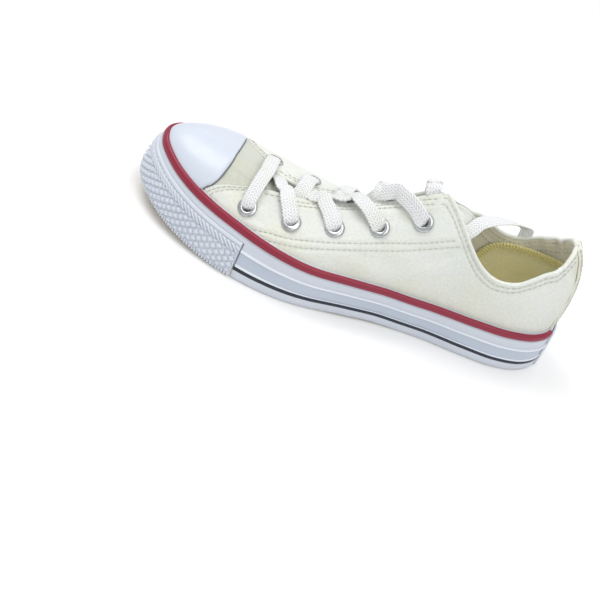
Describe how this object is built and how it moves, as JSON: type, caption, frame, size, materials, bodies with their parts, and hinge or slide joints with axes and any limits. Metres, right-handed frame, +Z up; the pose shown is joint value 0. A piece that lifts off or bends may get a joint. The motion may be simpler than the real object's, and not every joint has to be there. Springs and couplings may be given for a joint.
{
  "type": "canvas sneaker",
  "caption": "Low canvas sneaker with a rubber toe cap, a rubber side wall with two stripes, a ribbed toe bumper, metal eyelets and a flat lace.",
  "frame": {"origin": "middle of the shoe's footprint on the floor, measured without the free lace end", "axes": "+X towards the heel, -X towards the toe, -Y towards the outer side of the foot, +Z up"},
  "size_m": [0.2484, 0.0914, 0.0759],
  "materials": {
    "canvas": "matte",
    "lining": "matte",
    "cap_rubber": "satin",
    "side_rubber": "satin",
    "red_rubber": "satin",
    "dark_rubber": "satin",
    "nickel": "satin",
    "lace": "matte",
    "tip_plastic": "satin"
  },
  "bodies": {
    "root": {"upper": "canvas", "heel_strip": "canvas", "tongue": "canvas", "insole": "lining", "toe_cap": "cap_rubber", "outsole": "side_rubber", "foxing": "side_rubber", "toe_bumper": "side_rubber", "heel_patch": "side_rubber", "stripe_red": "red_rubber", "stripe_dark_outer": "dark_rubber", "stripe_dark_inner": "dark_rubber", "eyelet_outer_1": "nickel", "eyelet_outer_2": "nickel", "eyelet_outer_3": "nickel", "eyelet_outer_4": "nickel", "eyelet_outer_5": "nickel", "eyelet_inner_1": "nickel", "eyelet_inner_2": "nickel", "eyelet_inner_3": "nickel", "eyelet_inner_4": "nickel", "eyelet_inner_5": "nickel", "vent_eyelet_1": "nickel", "vent_eyelet_2": "nickel", "lace_crossings": "lace", "lace_end": "lace", "lace_tip": "tip_plastic"}
  },
  "joints": []
}
